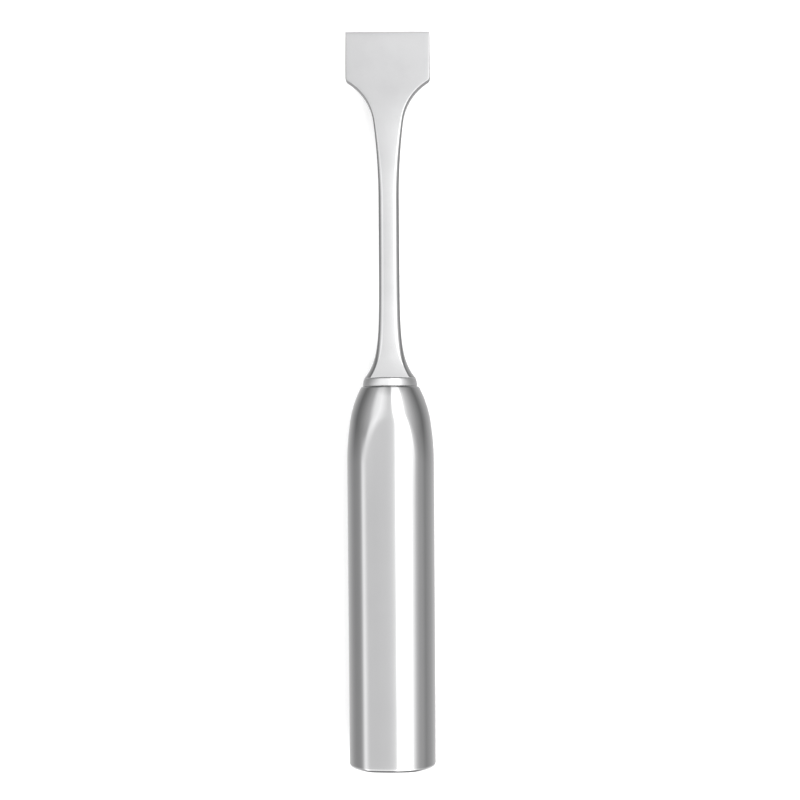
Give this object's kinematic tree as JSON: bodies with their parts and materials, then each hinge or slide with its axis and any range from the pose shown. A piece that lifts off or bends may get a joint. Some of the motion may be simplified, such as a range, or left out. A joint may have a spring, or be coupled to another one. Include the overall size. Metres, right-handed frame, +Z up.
{
  "type": "osteotome",
  "caption": "Flat bone chisel in stainless steel: wide double-bevelled blade, slender shank flaring into a round bolster, thick turned handle with ground flats and a domed striking end.",
  "frame": {"origin": "bottom centre of the bounding box, on the surface that the back flat of the handle rests on", "axes": "+Y along the tool towards the cutting edge, +X across the blade, +Z up, out of the thumb flat"},
  "size_m": [0.0258, 0.2188, 0.0231],
  "materials": {
    "blade_steel": "fine satin, polished along the edges",
    "handle_steel": "polished turning and polished flats with soft edges"
  },
  "bodies": {
    "root": {"blade": "blade_steel", "handle": "handle_steel"}
  },
  "joints": []
}
